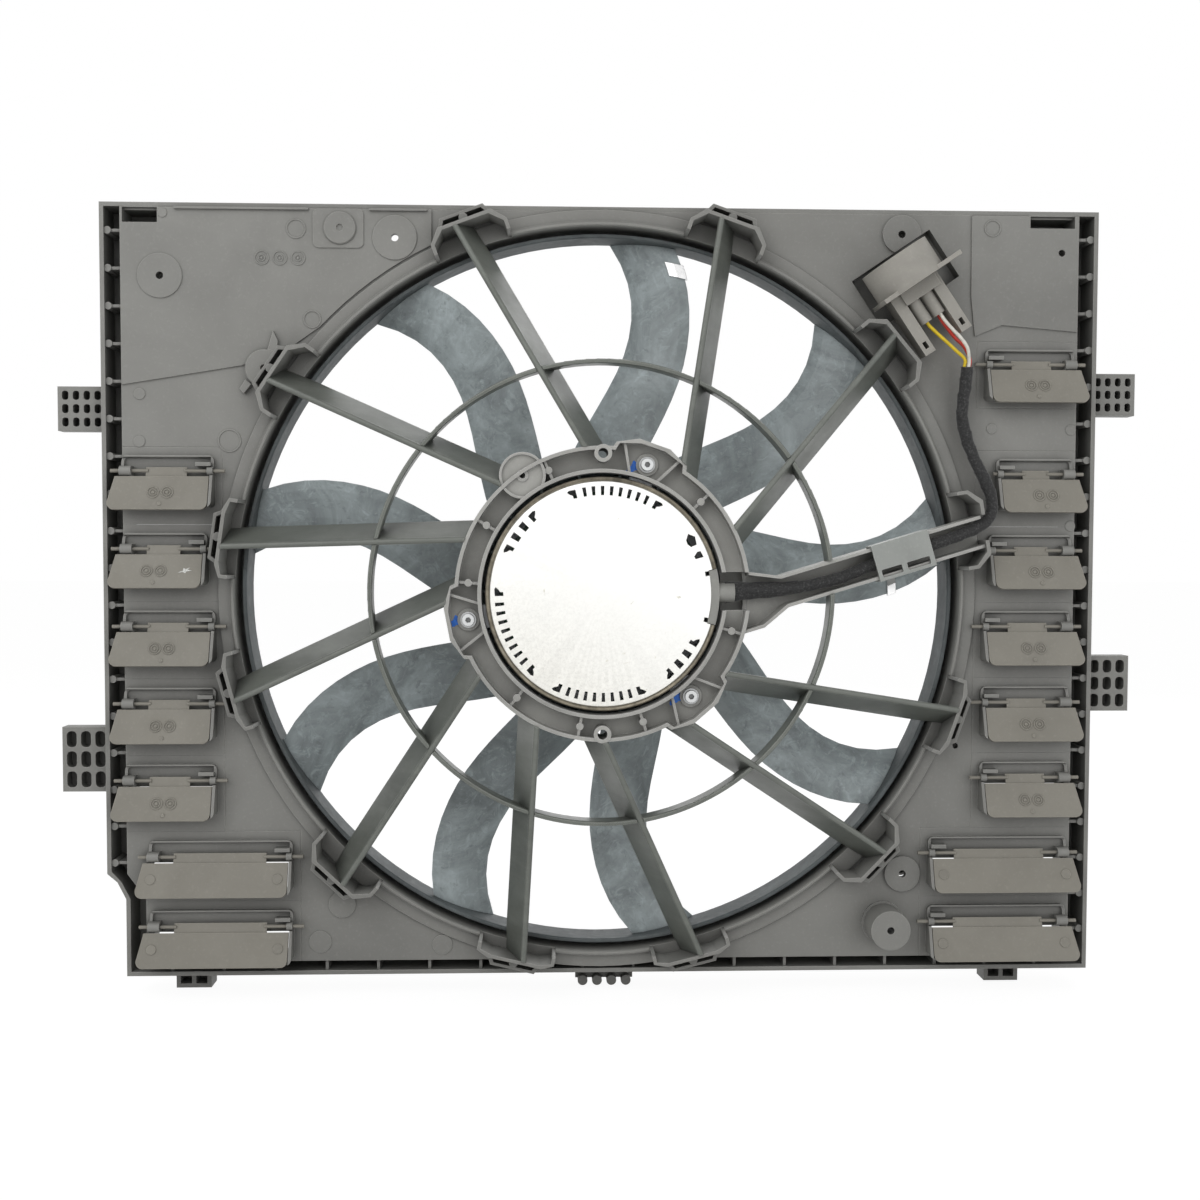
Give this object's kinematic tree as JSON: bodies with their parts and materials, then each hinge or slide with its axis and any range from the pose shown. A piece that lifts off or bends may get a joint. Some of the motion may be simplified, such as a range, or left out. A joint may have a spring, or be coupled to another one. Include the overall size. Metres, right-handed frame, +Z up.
{
  "type": "radiator fan",
  "caption": "Moulded shroud that holds an electric ring fan behind a radiator, with slanted stator vanes, a brushless motor, hinged ram-air flaps and a cable with a connector.",
  "frame": {"origin": "on the fan axis, in the plane of the shroud's rear rim, which meets the radiator", "axes": "+X to the right as seen from the engine side, +Y towards the radiator along the fan axis, +Z up"},
  "size_m": [0.765, 0.091, 0.5571],
  "materials": {
    "shroud_plastic": "fine grain",
    "flap_plastic": "fine grain",
    "fan_plastic": "satin, mottled",
    "clip_plastic": "fine grain",
    "connector_plastic": "satin",
    "cover_metal": "bare, satin",
    "housing_metal": "die-cast",
    "bearing_steel": "ground",
    "core_steel": "laminated",
    "winding_copper": "enamelled wire",
    "board_laminate": "solder mask",
    "capacitor_sleeve": "shrink sleeve",
    "gland_rubber": "matte",
    "screw_steel": "zinc plated",
    "cable_tape": "fleece tape",
    "wire_sheath": "smooth",
    "pin_brass": "tinned",
    "cup_steel": "zinc coated",
    "magnet_ferrite": "sintered",
    "clip_steel": "spring steel"
  },
  "bodies": {
    "shroud": {"shroud_panel": "shroud_plastic", "perimeter_frame": "shroud_plastic", "orifice_barrel": "shroud_plastic", "vane_bays": "shroud_plastic", "stator_vanes": "shroud_plastic", "guard_ring": "shroud_plastic", "motor_carrier": "shroud_plastic", "cable_duct": "shroud_plastic", "duct_clip": "clip_plastic", "flap_frames": "shroud_plastic", "side_brackets": "shroud_plastic", "bottom_feet": "shroud_plastic", "motor_cover": "cover_metal", "motor_housing": "housing_metal", "bearings": "bearing_steel", "stator_core": "core_steel", "windings": "winding_copper", "circuit_board": "board_laminate", "capacitors": "capacitor_sleeve", "cable_gland": "gland_rubber", "motor_screws": "screw_steel", "power_cable": "cable_tape", "lead_wires": "wire_sheath", "connector_socket": "connector_plastic", "connector_body": "connector_plastic", "connector_pins": "pin_brass"},
    "fan": {"motor_shaft": "bearing_steel", "rotor_cup": "cup_steel", "rotor_magnets": "magnet_ferrite", "fan_hub": "fan_plastic", "hub_screws": "screw_steel", "fan_blades": "fan_plastic", "fan_band": "fan_plastic", "balance_clips": "clip_steel"},
    "left_flap_1": {"left_flap_1": "flap_plastic"},
    "left_flap_2": {"left_flap_2": "flap_plastic"},
    "left_flap_3": {"left_flap_3": "flap_plastic"},
    "left_flap_4": {"left_flap_4": "flap_plastic"},
    "left_flap_5": {"left_flap_5": "flap_plastic"},
    "left_flap_6": {"left_flap_6": "flap_plastic"},
    "left_flap_7": {"left_flap_7": "flap_plastic"},
    "right_flap_1": {"right_flap_1": "flap_plastic"},
    "right_flap_2": {"right_flap_2": "flap_plastic"},
    "right_flap_3": {"right_flap_3": "flap_plastic"},
    "right_flap_4": {"right_flap_4": "flap_plastic"},
    "right_flap_5": {"right_flap_5": "flap_plastic"},
    "right_flap_6": {"right_flap_6": "flap_plastic"},
    "right_flap_7": {"right_flap_7": "flap_plastic"},
    "right_flap_8": {"right_flap_8": "flap_plastic"}
  },
  "joints": [
    {"name": "fan_spin", "type": "hinge", "parent": "shroud", "child": "fan", "pos_m": [0, 0, 0], "axis": [0, 1, 0], "continuous": true},
    {"name": "left_flap_1_hinge", "type": "hinge", "parent": "shroud", "child": "left_flap_1", "pos_m": [-0.301, -0.0505, 0.084], "axis": [-1, 0, 0], "range_deg": [0, 65]},
    {"name": "left_flap_2_hinge", "type": "hinge", "parent": "shroud", "child": "left_flap_2", "pos_m": [-0.3035, -0.0505, 0.03], "axis": [-1, 0, 0], "range_deg": [0, 65]},
    {"name": "left_flap_3_hinge", "type": "hinge", "parent": "shroud", "child": "left_flap_3", "pos_m": [-0.301, -0.0505, -0.024], "axis": [-1, 0, 0], "range_deg": [0, 65]},
    {"name": "left_flap_4_hinge", "type": "hinge", "parent": "shroud", "child": "left_flap_4", "pos_m": [-0.301, -0.0505, -0.078], "axis": [-1, 0, 0], "range_deg": [0, 65]},
    {"name": "left_flap_5_hinge", "type": "hinge", "parent": "shroud", "child": "left_flap_5", "pos_m": [-0.301, -0.0505, -0.132], "axis": [-1, 0, 0], "range_deg": [0, 65]},
    {"name": "left_flap_6_hinge", "type": "hinge", "parent": "shroud", "child": "left_flap_6", "pos_m": [-0.26675, -0.0505, -0.186], "axis": [-1, 0, 0], "range_deg": [0, 65]},
    {"name": "left_flap_7_hinge", "type": "hinge", "parent": "shroud", "child": "left_flap_7", "pos_m": [-0.26675, -0.0505, -0.2355], "axis": [-1, 0, 0], "range_deg": [0, 65]},
    {"name": "right_flap_1_hinge", "type": "hinge", "parent": "shroud", "child": "right_flap_1", "pos_m": [0.304, -0.0505, 0.161], "axis": [-1, 0, 0], "range_deg": [0, 65]},
    {"name": "right_flap_2_hinge", "type": "hinge", "parent": "shroud", "child": "right_flap_2", "pos_m": [0.3085, -0.0505, 0.084], "axis": [-1, 0, 0], "range_deg": [0, 65]},
    {"name": "right_flap_3_hinge", "type": "hinge", "parent": "shroud", "child": "right_flap_3", "pos_m": [0.306, -0.0505, 0.03], "axis": [-1, 0, 0], "range_deg": [0, 65]},
    {"name": "right_flap_4_hinge", "type": "hinge", "parent": "shroud", "child": "right_flap_4", "pos_m": [0.304, -0.0505, -0.024], "axis": [-1, 0, 0], "range_deg": [0, 65]},
    {"name": "right_flap_5_hinge", "type": "hinge", "parent": "shroud", "child": "right_flap_5", "pos_m": [0.304, -0.0505, -0.078], "axis": [-1, 0, 0], "range_deg": [0, 65]},
    {"name": "right_flap_6_hinge", "type": "hinge", "parent": "shroud", "child": "right_flap_6", "pos_m": [0.304, -0.0505, -0.132], "axis": [-1, 0, 0], "range_deg": [0, 65]},
    {"name": "right_flap_7_hinge", "type": "hinge", "parent": "shroud", "child": "right_flap_7", "pos_m": [0.28575, -0.0505, -0.186], "axis": [-1, 0, 0], "range_deg": [0, 65]},
    {"name": "right_flap_8_hinge", "type": "hinge", "parent": "shroud", "child": "right_flap_8", "pos_m": [0.28575, -0.0505, -0.2355], "axis": [-1, 0, 0], "range_deg": [0, 65]}
  ]
}
